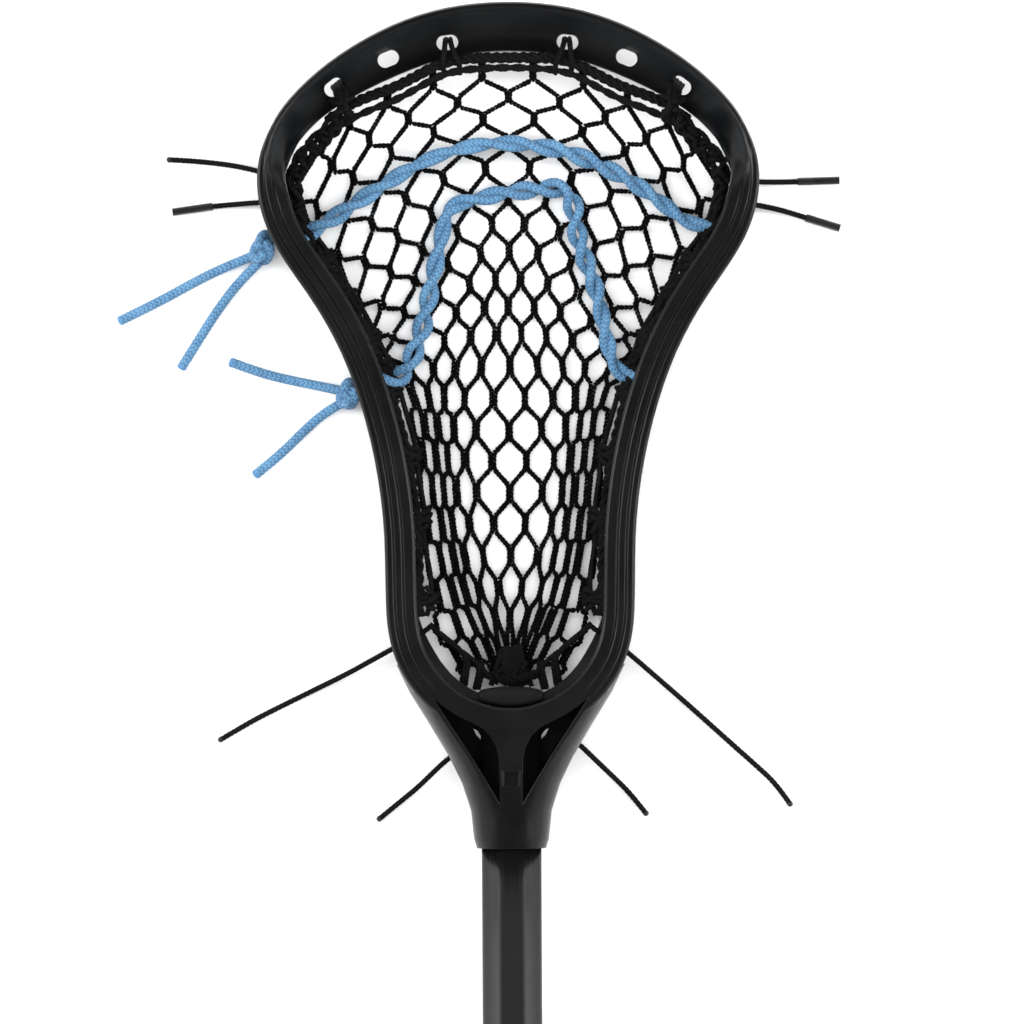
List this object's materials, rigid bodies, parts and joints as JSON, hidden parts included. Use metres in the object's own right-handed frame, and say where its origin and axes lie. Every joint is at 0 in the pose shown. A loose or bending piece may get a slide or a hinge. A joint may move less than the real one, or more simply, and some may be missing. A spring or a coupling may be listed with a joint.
{
  "type": "lacrosse stick",
  "caption": "Lacrosse stick with an oval moulded head, knitted mesh pocket, laced sidewalls, twisted shooting strings, free lace ends and a long octagonal shaft, lying face up.",
  "frame": {"origin": "on the surface the stick lies on, below the middle of its length and on its centre line", "axes": "+Y along the stick towards the scoop, +X to its right seen from the face, +Z out of the face"},
  "size_m": [0.2692, 1.0802, 0.0461],
  "materials": {
    "moulded_nylon": "satin",
    "shaft_black": "satin",
    "cap_rubber": "matte",
    "screw_steel": "satin",
    "pad_foam": "satin",
    "mesh_black": "matte",
    "lace_black": "matte",
    "lace_blue": "matte",
    "tip_black": "gloss"
  },
  "bodies": {
    "root": {"head": "moulded_nylon", "shaft": "shaft_black", "butt_cap": "cap_rubber", "head_screw": "screw_steel", "ball_stop_pad": "pad_foam", "mesh_pocket": "mesh_black", "top_string": "lace_black", "sidewall_string_left": "lace_black", "sidewall_string_right": "lace_black", "bottom_string": "lace_black", "tail_left_high": "lace_black", "tail_left_low": "lace_black", "tail_right_high": "lace_black", "tail_right_low": "lace_black", "tail_base_left_high": "lace_black", "tail_base_right_high": "lace_black", "tail_base_left_low": "lace_black", "tail_base_right_low": "lace_black", "shooting_string_upper": "lace_blue", "shooting_string_lower": "lace_blue", "shooting_tail_upper_a": "lace_blue", "shooting_tail_upper_b": "lace_blue", "shooting_tail_lower_a": "lace_blue", "shooting_tail_lower_b": "lace_blue", "shooting_knot_upper": "lace_blue", "shooting_knot_lower": "lace_blue", "aglet_left_low": "tip_black", "aglet_right_high": "tip_black", "aglet_right_low": "tip_black"}
  },
  "joints": []
}
